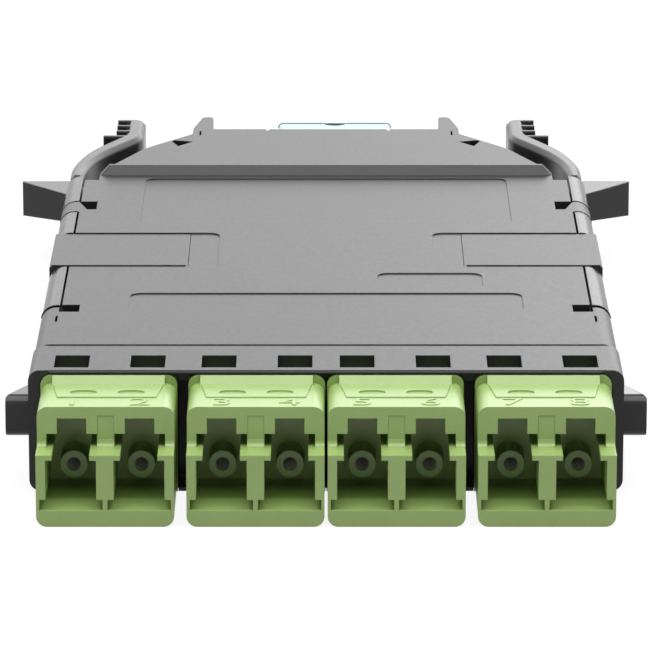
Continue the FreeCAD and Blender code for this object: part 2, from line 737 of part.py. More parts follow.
def side_clip():
    """Left clip: one strip bent round the side of the body."""
    outer = -BODY_HALF
    inner = outer + CLIP_REACH
    top_z = HEIGHT - CLIP_DROP
    section = [
        (outer, FIT, CLIP_BOTTOM_ROUND),
        (inner, FIT, 0),
        (inner, CLIP_THICK, 0),
        (outer + CLIP_THICK, CLIP_THICK, 0),
        (outer + CLIP_THICK, top_z - CLIP_THICK, 0),
        (inner, top_z - CLIP_THICK, 0),
        (inner, top_z, 0),
        (outer, top_z, CLIP_TOP_ROUND),
    ]
    return prism(section, "Y", CLIP_FRONT, CLIP_BACK)


def arm_socket():
    """Space at the left rail's end for the root of the latch arm."""
    return Part.makeCylinder(ARM_ROOT_THICK / 2 + KNUCKLE_GAP, FAR, Vector(-PIVOT_X, PIVOT_Y, -1))


def base_shell():
    """Tray with the side rails, the rear walls and the seat of the MPO adapter."""
    wide = prism(rectangle(-BODY_HALF, BODY_HALF, 0, HEIGHT, RAIL_ROUND), "Y", BODY_FRONT, BODY_BACK)
    rear = prism(taper_outline(), "Z", 0, PARTING)
    shell = join([wide, rear])
    cuts = [
        block(-INSIDE_HALF, INSIDE_HALF, POCKET_BACK, BODY_BACK - TAPER_WALL, FLOOR, FAR),
        block(-POCKET_HALF, POCKET_HALF, BODY_FRONT - 1, POCKET_BACK, RIM, FAR),
        block(-INSIDE_HALF, INSIDE_HALF, POCKET_BACK, BODY_BACK + 1, LID_Z - FIT, FAR),
        block(-FAR, FAR, BODY_FRONT - 1, HOOD_BACK + HOOD_GAP, PARTING, FAR),
        prism(taper_outline(TAPER_WALL), "Z", FLOOR, FAR),
        block(-SHOULDER_X + TAPER_WALL, SHOULDER_X - TAPER_WALL, BODY_BACK - 2 * TAPER_WALL,
              BODY_BACK + 2 * TAPER_WALL, FLOOR, FAR),
        block(-SHOULDER_X - COVER_GAP, SHOULDER_X + COVER_GAP, BODY_BACK - TAPER_WALL, BODY_BACK + 1,
              PARTING, FAR),
        mpo_seat(),
    ]
    for cut in (clip_recess(), arm_socket(), tab_space()):
        cuts += [cut, mirrored(cut)]
    shell = shell.cut(cuts)
    ledge_top = LID_Z - FIT
    ledge = block(-INSIDE_HALF - SINK, -INSIDE_HALF + LEDGE, HOOD_BACK + LEDGE_SETBACK,
                  BODY_BACK - TAPER_WALL, ledge_top - LEDGE_HEIGHT, ledge_top)
    root = block(-PIVOT_X - ARM_ROOT_THICK / 2, -PIVOT_X + ARM_ROOT_THICK / 2, BODY_BACK - 1, PIVOT_Y,
                 ARM_BOTTOM, HEIGHT - RAIL_ROUND).cut(arm_socket())
    cradle_front = MPO_FRONT + CRADLE_SETBACK
    cradle = block(MPO_X - MPO_WIDTH / 2, MPO_X + MPO_WIDTH / 2, cradle_front, cradle_front + CRADLE_THICK,
                   FLOOR - SINK, MPO_BOTTOM - FIT)
    pad = block(MPO_X - BLOCK_HALF, MPO_X + BLOCK_HALF, BLOCK_FRONT, BLOCK_BACK,
                FLOOR - SINK, FLOOR + PAD_RISE)
    return join([shell, ledge, mirrored(ledge), root, mirrored(root), cradle, pad])


def snap_windows():
    """The two pockets along the left edge of the cover, and the short slit in the hood."""
    low = -INSIDE_HALF
    high = low + SNAP_WIDTH
    front = HOOD_BACK - FRONT_SNAP_LEAD
    front_pocket = rectangle(low, high, front, front + FRONT_SNAP_LENGTH, 0)
    rear = TAB_BACK + TAB_GAP
    rear_pocket = [
        (low, rear, 0),
        (low + SNAP_SLANT, rear - REAR_SNAP_LENGTH, 0),
        (high, rear - REAR_SNAP_LENGTH, 0),
        (high, rear, 0),
    ]
    dash_back = HOOD_BACK - DASH_SETBACK
    dash = rectangle(low - DASH_WIDTH, low, dash_back - DASH_LENGTH, dash_back, 0)
    return [prism(plan, "Z", HEIGHT - SNAP_DEPTH, FAR) for plan in (front_pocket, rear_pocket, dash)]


def rail_tab():
    """Tab of the cover that wraps over the left rail and down the side."""
    whole = prism(rectangle(-BODY_HALF, BODY_HALF, 0, HEIGHT, RAIL_ROUND), "Y", TAB_FRONT, TAB_BACK)
    top = block(-FAR, -COVER_HALF + 1, TAB_FRONT, TAB_BACK, LID_Z, FAR)
    side = block(-FAR, -BODY_HALF + TAB_THICK, TAB_FRONT, TAB_BACK, TAB_BOTTOM, FAR)
    return whole.common(top.fuse(side))


def tab_space():
    """Notch in the left rail for the cover's tab."""
    low, high = TAB_FRONT - TAB_GAP, TAB_BACK + TAB_GAP
    side = block(-FAR, -BODY_HALF + TAB_THICK + FIT, low, high, TAB_BOTTOM - TAB_GAP, FAR)
    top = block(-FAR, -INSIDE_HALF + 1, low, high, LID_Z - FIT, FAR)
    return side.fuse(top)


def taper_marks():
    """Snap pocket, ear slit and corner cut on the left of the cover's rear."""
    corner = Vector(-TAPER_HALF, BODY_BACK + TAPER_LENGTH, 0)
    middle = Vector(-TAPER_MID_HALF, BODY_BACK + TAPER_MID_LENGTH, 0)
    along = (middle - corner).normalize()
    inward = Vector(-along.y, along.x, 0)

    def spot(distance, depth):
        """Plan point by its distance along the edge and its depth inside it."""
        point = corner + along * distance + inward * depth
        return (point.x, point.y, 0)

    pocket = [
        spot(TAPER_POCKET_SPAN[0], TAPER_POCKET_WALL),
        spot(TAPER_POCKET_SPAN[1], TAPER_POCKET_WALL),
        spot(TAPER_POCKET_DEEP_SPAN[1], TAPER_POCKET_IN),
        spot(TAPER_POCKET_DEEP_SPAN[0], TAPER_POCKET_IN),
    ]
    slit_front = corner.y - EAR_SLIT_LEAD
    slit = rectangle(-EAR_SLIT_X - EAR_SLIT_WIDTH / 2, -EAR_SLIT_X + EAR_SLIT_WIDTH / 2,
                     slit_front, slit_front + EAR_SLIT_LENGTH, 0)
    cut_front = BODY_BACK - CORNER_CUT_LENGTH
    cut_back = BODY_BACK + STEP_RUN + STEP_LAND + 1
    corner_cut = [
        (-COVER_HALF - 1, cut_front, 0),
        (-CORNER_CUT_X, cut_front, 0),
        (-CORNER_CUT_X, cut_back, 0),
        (-COVER_HALF - 1, cut_back, 0),
    ]
    return [
        prism(pocket, "Z", RAISED_TOP - SNAP_DEPTH, FAR),
        prism(slit, "Z", RAISED_TOP - SNAP_DEPTH, FAR),
        prism(corner_cut, "Z", LID_Z - 1, HEIGHT + RAISE / 2),
    ]


def rear_notches():
    """Small notches in the cover's rear edge, over the MPO adapter."""
    half = REAR_NOTCH_WIDTH / 2
    return [block(x - half, x + half, REAR - REAR_NOTCH_DEPTH, REAR + 1, MPO_BOTTOM + MPO_HEIGHT, FAR)
            for x in REAR_NOTCH_X]


def step_slope():
    """Slope from the lid up to the raised rear, wider at its foot."""
    back = BODY_BACK + STEP_RUN + STEP_LAND
    share = SINK / RAISE
    levels = (
        (SHOULDER_X + STEP_SPREAD * (1 + share), BODY_BACK - STEP_RUN * share, HEIGHT - SINK),
        (SHOULDER_X, BODY_BACK + STEP_RUN, RAISED_TOP),
    )
    wires = []
    for half, front, z in levels:
        corners = [(-half, front), (half, front), (half, back), (-half, back)]
        wires.append(Part.makePolygon([Vector(a, b, z) for a, b in corners], True))
    return Part.makeLoft(wires, True, True)


def label(x, half, front, length):
    """Space of one shallow recess in the cover's top."""
    plan = rectangle(x - half, x + half, front, front + length, 0, LABEL_ROUND)
    return prism(plan, "Z", HEIGHT - LABEL_DEPTH, FAR)


def cover_marks():
    """Shallow bare recesses in the cover's top."""
    return [
        label(0, LABEL_HALF, HOOD_BACK + FRONT_LABEL_SETBACK - FRONT_LABEL_LENGTH, FRONT_LABEL_LENGTH),
        label(0, LABEL_HALF, BODY_BACK - REAR_LABEL_SETBACK - REAR_LABEL_LENGTH, REAR_LABEL_LENGTH),
        label(SMALL_LABEL_X, SMALL_LABEL_WIDTH / 2, HOOD_BACK + SMALL_LABEL_SETBACK - SMALL_LABEL_LENGTH,
              SMALL_LABEL_LENGTH),
    ]


def cover():
    """Lid with the hood behind the frame and the raised narrowing rear."""
    hood = prism(rectangle(-BODY_HALF, BODY_HALF, 0, HEIGHT, RAIL_ROUND), "Y", BODY_FRONT, HOOD_BACK)
    hood = hood.cut([
        block(-FAR, FAR, BODY_FRONT - 1, HOOD_BACK + 1, -1, PARTING + FIT),
        block(-INSIDE_HALF, INSIDE_HALF, POCKET_BACK - 1, HOOD_BACK + 1, 0, LID_Z),
        block(-POCKET_HALF, POCKET_HALF, BODY_FRONT - 1, POCKET_BACK, 0, LID_Z),
    ])
    plate = block(-COVER_HALF, COVER_HALF, HOOD_BACK - 1, BODY_BACK, LID_Z, HEIGHT)
    raised = prism(taper_outline(), "Z", PARTING + FIT, RAISED_TOP)
    hollow = prism(taper_outline(TAPER_WALL), "Z", 0, RAISED_TOP - LID)
    before_slope = block(-FAR, FAR, BODY_BACK - 1, BODY_BACK + STEP_RUN + STEP_LAND / 2, HEIGHT, FAR)
    raised = raised.cut([hollow, mpo_seat(), before_slope])
    step = block(-SHOULDER_X, SHOULDER_X, BODY_BACK - 0.01, BODY_BACK + TAPER_WALL, LID_Z, HEIGHT)
    passage = block(-SHOULDER_X + TAPER_WALL, SHOULDER_X - TAPER_WALL, BODY_BACK - 1,
                    BODY_BACK + 2 * TAPER_WALL, 0, LID_Z)
    tab = rail_tab()
    lid = join([hood, plate, raised, step, step_slope(), tab, mirrored(tab)]).cut(passage)
    cuts = cover_marks() + rear_notches()
    recess = clip_recess()
    cuts += [recess, mirrored(recess)]
    for pocket in snap_windows() + taper_marks():
        cuts += [pocket, mirrored(pocket)]
    return lid.cut(cuts)


def arm_plan():
    """Plan of the left latch arm from its root to its rounded tip."""
    outer = -PIVOT_X - ARM_ROOT_THICK / 2
    inner = outer + ARM_ROOT_THICK
    tip_inner = inner + ARM_SHIFT + ARM_THICK - ARM_ROOT_THICK
    first = PIVOT_Y + ARM_BEND_START
    lag = (ARM_THICK + ARM_ROOT_THICK) / 2
    knuckle = ring(-PIVOT_X, PIVOT_Y, ARM_ROOT_THICK / 2, ROUND_SIDES)
    root = knuckle[:1] + knuckle[:ROUND_SIDES // 2 - 1:-1]
    return [
        (outer, first + lag, ARM_BEND),
        (tip_inner - ARM_THICK, first + lag + ARM_BEND_LENGTH, ARM_TIP_BEND),
        (tip_inner - ARM_THICK, PIVOT_Y + ARM_LENGTH, 0),
        (tip_inner, PIVOT_Y + ARM_LENGTH, ARM_TIP_INNER_ROUND),
        (tip_inner, first + ARM_BEND_LENGTH + ARM_TIP_LEAD, ARM_TIP_BEND),
        (inner, first, ARM_BEND),
    ] + root


def arm_fins():
    """Stepped finger fins on the outer side of the left arm's tip."""
    outer = -PIVOT_X - ARM_ROOT_THICK / 2 + ARM_SHIFT
    tip = PIVOT_Y + ARM_LENGTH
    fins = []
    for i in range(FIN_COUNT):
        back = tip - FIN_TIP_GAP - i * FIN_PITCH
        reach = FIN_LAST_OUT if i == FIN_COUNT - 1 else FIN_OUT
        fins.append(block(outer - reach, outer + FIN_SINK, back - FIN_THICK, back,
                          ARM_BOTTOM + FIN_BOTTOM_GAP, HEIGHT))
    return fins


def arm_wedge():
    """Wedge that catches in the tray, on the outer side of the left arm."""
    root = -PIVOT_X - ARM_ROOT_THICK / 2
    back = PIVOT_Y + WEDGE_BACK
    plan = [
        (root + WEDGE_SINK, back - WEDGE_LENGTH, 0),
        (root - WEDGE_OUT, back - WEDGE_EDGE, 0),
        (root - WEDGE_OUT, back, 0),
        (root + WEDGE_ROOT, back, 0),
    ]
    solid = prism(plan, "Z", WEDGE_BOTTOM, WEDGE_BOTTOM + WEDGE_HEIGHT)
    under = [
        (back - WEDGE_LENGTH - 1, WEDGE_BOTTOM - 1, 0),
        (back, WEDGE_BOTTOM - 1, 0),
        (back, WEDGE_BOTTOM, 0),
        (back - WEDGE_LENGTH, WEDGE_BOTTOM + WEDGE_LIFT, 0),
        (back - WEDGE_LENGTH - 1, WEDGE_BOTTOM + WEDGE_LIFT, 0),
    ]
    return solid.cut(prism(under, "X", -FAR, 0))


def top_outline_edges(shape, z):
    """Edges that lie in the plane at height z."""
    return [e for e in shape.Edges if abs(e.BoundBox.ZMin - z) < 1e-4 and abs(e.BoundBox.ZMax - z) < 1e-4]


def latch_arm():
    """Left latch arm with its round root, wedge and finger fins."""
    arm = prism(arm_plan(), "Z", ARM_BOTTOM, HEIGHT)
    arm = arm.makeChamfer(ARM_EDGE, top_outline_edges(arm, HEIGHT))
    return join([arm, arm_wedge()] + arm_fins())


def mpo_port_face():
    """End view of the MPO port with its key slot."""
    half = MPO_PORT_WIDTH / 2
    low = MPO_Z - MPO_PORT_HEIGHT / 2
    high = MPO_Z + MPO_PORT_HEIGHT / 2
    key = MPO_KEY_WIDTH / 2
    return [
        (MPO_X - half, low, 0),
        (MPO_X + half, low, 0),
        (MPO_X + half, high, 0),
        (MPO_X + key, high, 0),
        (MPO_X + key, high + MPO_KEY_HEIGHT, 0),
        (MPO_X - key, high + MPO_KEY_HEIGHT, 0),
        (MPO_X - key, high, 0),
        (MPO_X - half, high, 0),
    ]


def mpo_adapter_outer():
    """Half of the MPO adapter that shows behind the cassette."""
    section = rectangle(MPO_X - MPO_WIDTH / 2, MPO_X + MPO_WIDTH / 2, MPO_BOTTOM, MPO_BOTTOM + MPO_HEIGHT,
                        MPO_CORNER)
    shell = prism(section, "Y", MPO_SPLIT, MPO_BACK)
    port = prism(mpo_port_face(), "Y", MPO_SPLIT - 1, MPO_BACK + 1)
    thumb = Part.makeCylinder(THUMB_RADIUS, MPO_HEIGHT, Vector(MPO_X, MPO_BACK, MPO_Z))
    return shell.cut([port, thumb])


def mpo_adapter_inner():
    """Half of the MPO adapter inside the cassette, with the flange that seats on the rear wall."""
    top = MPO_BOTTOM + MPO_HEIGHT
    shell = block(MPO_X - MPO_WIDTH / 2, MPO_X + MPO_WIDTH / 2, MPO_FRONT, MPO_SPLIT, MPO_BOTTOM, top)
    flange_back = REAR - TAPER_WALL - FIT
    flange = block(MPO_X - MPO_WIDTH / 2 - MPO_FLANGE, MPO_X + MPO_WIDTH / 2 + MPO_FLANGE,
                   flange_back - MPO_FLANGE_THICK, flange_back, MPO_BOTTOM, top)
    port = prism(mpo_port_face(), "Y", MPO_FRONT - 1, MPO_SPLIT + 1)
    return join([shell, flange]).cut(port)


def mpo_plug():
    """Plug housing inside the MPO adapter, with its sliding grip."""
    nose = block(MPO_X - MPO_PLUG_WIDTH / 2, MPO_X + MPO_PLUG_WIDTH / 2, MPO_FRONT - MPO_PLUG_OVERLAP,
                 MPO_SPLIT - MPO_PLUG_SETBACK, MPO_Z - MPO_PLUG_HEIGHT / 2, MPO_Z + MPO_PLUG_HEIGHT / 2)
    grip = block(MPO_X - GRIP_WIDTH / 2, MPO_X + GRIP_WIDTH / 2, GRIP_FRONT, MPO_FRONT - FIT,
                 MPO_Z - GRIP_HEIGHT / 2, MPO_Z + GRIP_HEIGHT / 2)
    seat = block(MPO_X - MT_WIDTH / 2 - FIT, MPO_X + MT_WIDTH / 2 + FIT, MPO_FRONT, MPO_SPLIT,
                 MPO_Z - MT_HEIGHT / 2 - FIT, MPO_Z + MT_HEIGHT / 2 + FIT)
    return join([nose, grip]).cut(seat)


def mt_ferrule():
    """Multi-fibre ferrule with the bores of its two guide pins."""
    body = block(MPO_X - MT_WIDTH / 2, MPO_X + MT_WIDTH / 2, MPO_FRONT, MT_FACE,
                 MPO_Z - MT_HEIGHT / 2, MPO_Z + MT_HEIGHT / 2)
    bores = [rod(MPO_X + side * PIN_PITCH / 2, MPO_Z, PIN_D / 2 + SLEEVE_PLAY / 2, MPO_FRONT - 1, MT_FACE + 1)
             for side in (-1, 1)]
    return body.cut(bores)


def guide_pins():
    """The two steel pins that line up a pair of multi-fibre ferrules."""
    return Part.Compound([rod(MPO_X + side * PIN_PITCH / 2, MPO_Z, PIN_D / 2, MPO_FRONT, MT_FACE + PIN_OUT)
                          for side in (-1, 1)])


def mpo_boot():
    """Tapered boot of the MPO plug."""
    return taper(MPO_X, MPO_Z, MPO_BOOT_START_D / 2, MPO_BOOT_END_D / 2, MPO_BOOT_FRONT, GRIP_FRONT)


def trunk():
    """Jacketed bundle between the transition block and the MPO plug."""
    return rod(MPO_X, MPO_Z, TRUNK_D / 2, BLOCK_BACK, MPO_BOOT_FRONT)


def transition_block():
    """Block where the bundle fans out into single fibres."""
    points = rectangle(MPO_X - BLOCK_HALF, MPO_X + BLOCK_HALF, FLOOR + PAD_RISE,
                       MPO_Z + TRUNK_D / 2 + BLOCK_WALL, 0, BLOCK_WALL)
    return prism(points, "Y", BLOCK_FRONT, BLOCK_BACK)


def all_pieces():
    """Every piece by name."""
    pieces = {"front_frame": front_frame(), "base_shell": base_shell(), "cover": cover()}
    clip = side_clip()
    arm = latch_arm()
    pieces["side_clip_left"] = clip
    pieces["side_clip_right"] = mirrored(clip)
    pieces["latch_arm_left"] = arm
    pieces["latch_arm_right"] = mirrored(arm)
    for i, x in enumerate(ADAPTER_X, 1):
        pieces["adapter_front_%d" % i] = adapter_nose(x)
        pieces["adapter_rear_%d" % i] = adapter_tail(x)
        pieces["split_sleeves_%d" % i] = split_sleeves(x)
    for i, x in enumerate(PORT_X, 1):
        pieces["lc_plug_%d" % i] = lc_plug(x)
        pieces["lc_ferrule_%d" % i] = lc_ferrule(x)
        pieces["lc_boot_%d" % i] = lc_boot(x)
        pieces["fibre_%d" % i] = fibre(i - 1)
    pieces["mpo_adapter_outer"] = mpo_adapter_outer()
    pieces["mpo_adapter_inner"] = mpo_adapter_inner()
    pieces["mpo_plug"] = mpo_plug()
    pieces["mt_ferrule"] = mt_ferrule()
    pieces["guide_pins"] = guide_pins()
    pieces["mpo_boot"] = mpo_boot()
    pieces["trunk"] = trunk()
    pieces["transition_block"] = transition_block()
    return pieces


def main():
    """Write one STEP file for each piece."""
    os.makedirs("parts", exist_ok=True)
    for name, shape in all_pieces().items():
        shape.translate(Vector(0, -ORIGIN_Y, 0))
        shape.exportStep("parts/%s.step" % name)
        print(name, "valid" if shape.isValid() else "NOT VALID", "solids", len(shape.Solids),
              "volume %.2f" % shape.Volume)
    print("fibre bend radius %.1f" % FIBRE_BEND)
    print("origin is %.3f behind the frame's front plane" % ORIGIN_Y)


main()
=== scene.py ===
"""Looks of the fibre cassette: plastics, numbers and thin trim, with floor, light and camera."""

import json
import math

import bmesh
import bpy
from mathutils import Matrix, Vector

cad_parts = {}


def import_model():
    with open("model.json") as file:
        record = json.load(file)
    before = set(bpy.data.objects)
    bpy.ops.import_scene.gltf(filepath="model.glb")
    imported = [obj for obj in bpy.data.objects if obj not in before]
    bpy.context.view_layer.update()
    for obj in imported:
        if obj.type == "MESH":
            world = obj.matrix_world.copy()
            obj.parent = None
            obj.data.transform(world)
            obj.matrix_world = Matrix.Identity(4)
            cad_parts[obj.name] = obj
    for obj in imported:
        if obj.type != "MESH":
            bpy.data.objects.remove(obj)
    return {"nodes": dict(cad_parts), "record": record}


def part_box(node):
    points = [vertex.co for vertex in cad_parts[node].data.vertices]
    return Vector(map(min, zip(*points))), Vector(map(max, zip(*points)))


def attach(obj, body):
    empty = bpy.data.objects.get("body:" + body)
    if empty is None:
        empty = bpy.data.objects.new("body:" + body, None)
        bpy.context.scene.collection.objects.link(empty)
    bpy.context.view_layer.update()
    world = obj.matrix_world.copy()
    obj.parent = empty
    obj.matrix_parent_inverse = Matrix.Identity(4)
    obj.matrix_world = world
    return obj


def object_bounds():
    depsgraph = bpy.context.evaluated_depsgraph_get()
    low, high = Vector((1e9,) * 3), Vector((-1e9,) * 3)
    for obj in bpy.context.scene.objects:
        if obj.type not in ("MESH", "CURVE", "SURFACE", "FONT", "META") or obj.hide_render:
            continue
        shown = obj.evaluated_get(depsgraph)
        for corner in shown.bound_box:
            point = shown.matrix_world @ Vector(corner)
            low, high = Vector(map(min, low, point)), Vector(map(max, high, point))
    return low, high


MM = 0.001
UP = Vector((0, 0, 1))

# Camera, solved from the photograph; its distance is from the front of the frame
LENS = 294.0
SENSOR = 36.0
PITCH = 15.29
CAMERA_DISTANCE = 475.7 * MM
CAMERA_HEIGHT = 146.17 * MM
CAMERA_X = -0.1 * MM
VIEW_NEAR = 0.01
VIEW_FAR = 20.0

# Colours, linear
CHARCOAL = (0.017, 0.017, 0.018)
DARK = (0.012, 0.012, 0.013)
LIME = (0.285, 0.415, 0.125)
# Painted shade inside the adapters' ports: a darker lime behind the mouth, and a lime lighter than the
# plastic's own at the back
LIME_PAINTED_SHADE = (0.15, 0.25, 0.05)
LIME_PAINTED_BACK_LIGHT = (0.42, 0.60, 0.15)
LIME_DEEP = (0.30, 0.46, 0.10)
AQUA = (0.36, 0.56, 0.60)
# Darker aqua of the rear adapter's trim: painted shade
AQUA_PAINTED_SHADE = (0.15, 0.21, 0.26)
ZIRCONIA = (0.80, 0.79, 0.75)
RUBBER = (0.02, 0.02, 0.02)
STEEL = (0.62, 0.62, 0.64)

# Moulded surface: scales of its noise, part of the noise that is used, spread of the gloss, grain and edges
MOTTLE_SCALE = 260.0
GLOSS_SCALE = 2600.0
GRAIN_SCALE = 6500.0
NOISE_DETAIL = 3.0
GRAIN_DETAIL = 2.0
NOISE_ROUGHNESS = 0.55
NOISE_SPAN = (0.3, 0.7)
GLOSS_SPREAD = 0.02
GRAIN_HEIGHT = 0.006 * MM
GRAIN_STRENGTH = 0.35
EDGE_ROUND = 0.12 * MM
EDGE_SAMPLES = 4

# Ground steel of the guide pins
STEEL_MOTTLE_SCALE = 900.0
STEEL_GLOSS_SCALE = 2500.0
STEEL_DARKEST = 0.9
STEEL_ROUGHNESS = (0.22, 0.32)

# Nodes with a look of their own, in place of that of their slot
OWN_LOOKS = {
    "latch_arm_left": "latch_plastic",
    "latch_arm_right": "latch_plastic",
    "front_frame": "frame_plastic",
    "base_shell": "rail_plastic",
}

# Floor: white where it is seen, darker for the light that it throws back
FLOOR_HALF = 4.0
FLOOR_SEEN = (0.95, 0.95, 0.95)
FLOOR_BOUNCE = (0.45, 0.45, 0.45)
FLOOR_SHOWN = 0.9
FLOOR_ROUGHNESS = 0.9

# Numbers over the ports, set on each adapter's roof
NUMBER_SIZE = 3.1 * MM
NUMBER_STRETCH = 1.35
NUMBER_RISE = 0.07 * MM
NUMBER_CURVE_STEPS = 4
NUMBER_FROM_TIP = 4.55 * MM
NUMBER_OFFSET = 3.125 * MM
ROOF_BELOW_TOP = 0.78 * MM

# Painted shade inside the ports: darker lime from a little behind the mouth, between the side walls, below
# the roof, and a lighter painted lime deeper in, towards the back
PORT_SHADE_DEPTHS = (3.3 * MM, 4.3 * MM)
PORT_BACK_DEPTHS = (8.0 * MM, 10.9 * MM)
PORT_SHADE_HALF = 5.75 * MM
PORT_SHADE_TOP = 9.6 * MM

# Guide lugs: how far out they start and how much smoother they are
LUG_FROM = 27.9 * MM
LUG_POLISH = 0.17

# Thin trim of every kind: how deep its foot lies in the piece below, and the steps of a rounded corner
TRIM_SINK = 0.12 * MM
CORNER_STEPS = 5

# Lip along the front edge of the hood; turns are in degrees from the flat top
HOOD_EDGE_DEPTH = 0.25 * MM
HOOD_EDGE_RISE = 0.07 * MM
HOOD_EDGE_TURN = 50

# Lips round the rails at the cover's tabs, each with its place along Y and its rise, and along the clips
RAIL_CORNER = 1.5 * MM
RAIL_LIP_FLAT = 1.8 * MM
RAIL_LIP_DEPTH = 0.25 * MM
RAIL_LIP_TURN = 80
RAIL_LIPS = {
    "tab_front": (-23.45 * MM, 0.09 * MM),
    "tab_middle": (14.3 * MM, 0.05 * MM),
    "tab_rear": (18.7 * MM, 0.05 * MM),
}
CLIP_EDGE_RISE = 0.09 * MM
CLIP_EDGE_INSET = 0.2 * MM

# Slope along the frame's upper front edge, which runs out towards its ends
BROW_HALF = 26.1 * MM
BROW_REACH = 0.18 * MM
BROW_HEIGHT = 0.25 * MM
BROW_RUN_OUT = 2 * BROW_HEIGHT
BROW_END_SHARE = 0.1

# Rim of the rear adapter and the wall of its thumb hollow, drawn in a darker aqua as painted shade
RIM_SETBACK = 0.35 * MM
RIM_DEPTH = 0.1 * MM
RIM_RISE = 0.09 * MM
RIM_CORNER = 0.5 * MM
RIM_TURN = 90
THUMB_HALF = 1.3 * MM
THUMB_WALL = 0.15 * MM
THUMB_DEPTH = 0.65 * MM

# Light: a dim sky and three soft boxes, each with its power, width and height, and place
AMBIENT = 0.24
SOFT_BOXES = {
    "top_box": (12.8, (1.1, 0.9), (0.0, -0.1, 0.85)),
    "back_box_left": (5.1, (1.8, 0.7), (-0.62, 1.1, 0.5)),
    "back_box_right": (9.4, (1.8, 0.7), (0.82, 1.1, 0.5)),
}


def add_object(name, data):
    """New object in the scene."""
    added = bpy.data.objects.new(name, data)
    bpy.context.scene.collection.objects.link(added)
    return added


def new_material(name):
    """Empty node material with a Principled shader: (material, node tree, shader)."""
    material = bpy.data.materials.new(name)
    material.use_nodes = True
    tree = material.node_tree
    return material, tree, tree.nodes["Principled BSDF"]


def noise(tree, scale, detail=NOISE_DETAIL):
    """Noise in the shared frame's own coordinates."""
    coords = tree.nodes.new("ShaderNodeTexCoord")
    texture = tree.nodes.new("ShaderNodeTexNoise")
    texture.inputs["Scale"].default_value = scale
    texture.inputs["Detail"].default_value = detail
    texture.inputs["Roughness"].default_value = NOISE_ROUGHNESS
    tree.links.new(coords.outputs["Object"], texture.inputs["Vector"])
    return texture.outputs["Fac"]


def frame_place(tree):
    """Place in the shared frame, as sockets X, Y and Z."""
    coords = tree.nodes.new("ShaderNodeTexCoord")
    split = tree.nodes.new("ShaderNodeSeparateXYZ")
    tree.links.new(coords.outputs["Object"], split.inputs["Vector"])
    return split.outputs


def math_node(tree, operation, *values):
    """Result of a math node on sockets or numbers."""
    node = tree.nodes.new("ShaderNodeMath")
    node.operation = operation
    for index, value in enumerate(values):
        if isinstance(value, (int, float)):
            node.inputs[index].default_value = value
        else:
            tree.links.new(value, node.inputs[index])
    return node.outputs["Value"]


def mapped(tree, value, source=(0, 1), target=(0, 1)):
    """A number carried from the source range to the target range, and held at its ends."""
    spread = tree.nodes.new("ShaderNodeMapRange")
    for name, (low, high) in (("From", source), ("To", target)):
        spread.inputs[f"{name} Min"].default_value = low
        spread.inputs[f"{name} Max"].default_value = high
    tree.links.new(value, spread.inputs["Value"])
    return spread.outputs["Result"]


def mixed(tree, share, first, second):
    """Colour between two others, each a socket or a plain colour."""
    mix = tree.nodes.new("ShaderNodeMix")
    mix.data_type = "RGBA"
    tree.links.new(share, mix.inputs["Factor"])
    for name, colour in (("A", first), ("B", second)):
        if isinstance(colour, tuple):
            mix.inputs[name].default_value = (*colour, 1)
        else:
            tree.links.new(colour, mix.inputs[name])
    return mix.outputs["Result"]


def shade_between(tree, value, dark, light):
    """Colour that the noise runs from dark to light."""
    ramp = tree.nodes.new("ShaderNodeValToRGB")
    for element, position, colour in zip(ramp.color_ramp.elements, NOISE_SPAN, (dark, light)):
        element.position = position
        element.color = (*colour, 1)
    tree.links.new(value, ramp.inputs["Fac"])
    return ramp.outputs["Color"]


def soft_edges(tree, shader, radius):
    """Rounds the edges by their normals and adds a fine moulded grain."""
    bevel = tree.nodes.new("ShaderNodeBevel")
    bevel.samples = EDGE_SAMPLES
    bevel.inputs["Radius"].default_value = radius
    bump = tree.nodes.new("ShaderNodeBump")
    bump.inputs["Strength"].default_value = GRAIN_STRENGTH
    bump.inputs["Distance"].default_value = GRAIN_HEIGHT
    tree.links.new(noise(tree, GRAIN_SCALE, GRAIN_DETAIL), bump.inputs["Height"])
    tree.links.new(bevel.outputs["Normal"], bump.inputs["Normal"])
    tree.links.new(bump.outputs["Normal"], shader.inputs["Normal"])


def tinted(colour, factor):
    """The same colour, lighter or darker."""
    return tuple(channel * factor for channel in colour)


def plastic(name, colour, roughness, specular=0.5, edge=EDGE_ROUND, variation=0.03, inside=None, polish=None):
    """Moulded plastic: slight mottling, uneven gloss, fine grain and softened edges.

    inside paints shade into the colour in some places, and polish changes the roughness.
    """
    material, tree, shader = new_material(name)
    darker, lighter = tinted(colour, 1 - variation), tinted(colour, 1 + variation)
    shade = shade_between(tree, noise(tree, MOTTLE_SCALE), darker, lighter)
    if inside:
        shade = inside(tree, shade)
    tree.links.new(shade, shader.inputs["Base Color"])
    levels = (roughness - GLOSS_SPREAD, roughness + GLOSS_SPREAD)
    gloss = mapped(tree, noise(tree, GLOSS_SCALE), NOISE_SPAN, levels)
    if polish:
        gloss = polish(tree, gloss)
    tree.links.new(gloss, shader.inputs["Roughness"])
    shader.inputs["Specular IOR Level"].default_value = specular
    soft_edges(tree, shader, edge)
    return material


def lug_polish(tree, roughness):
    """The same roughness, lower on the guide lugs."""
    beyond = math_node(tree, "GREATER_THAN", math_node(tree, "ABSOLUTE", frame_place(tree)["X"]), LUG_FROM)
    return math_node(tree, "SUBTRACT", roughness, math_node(tree, "MULTIPLY", beyond, LUG_POLISH))


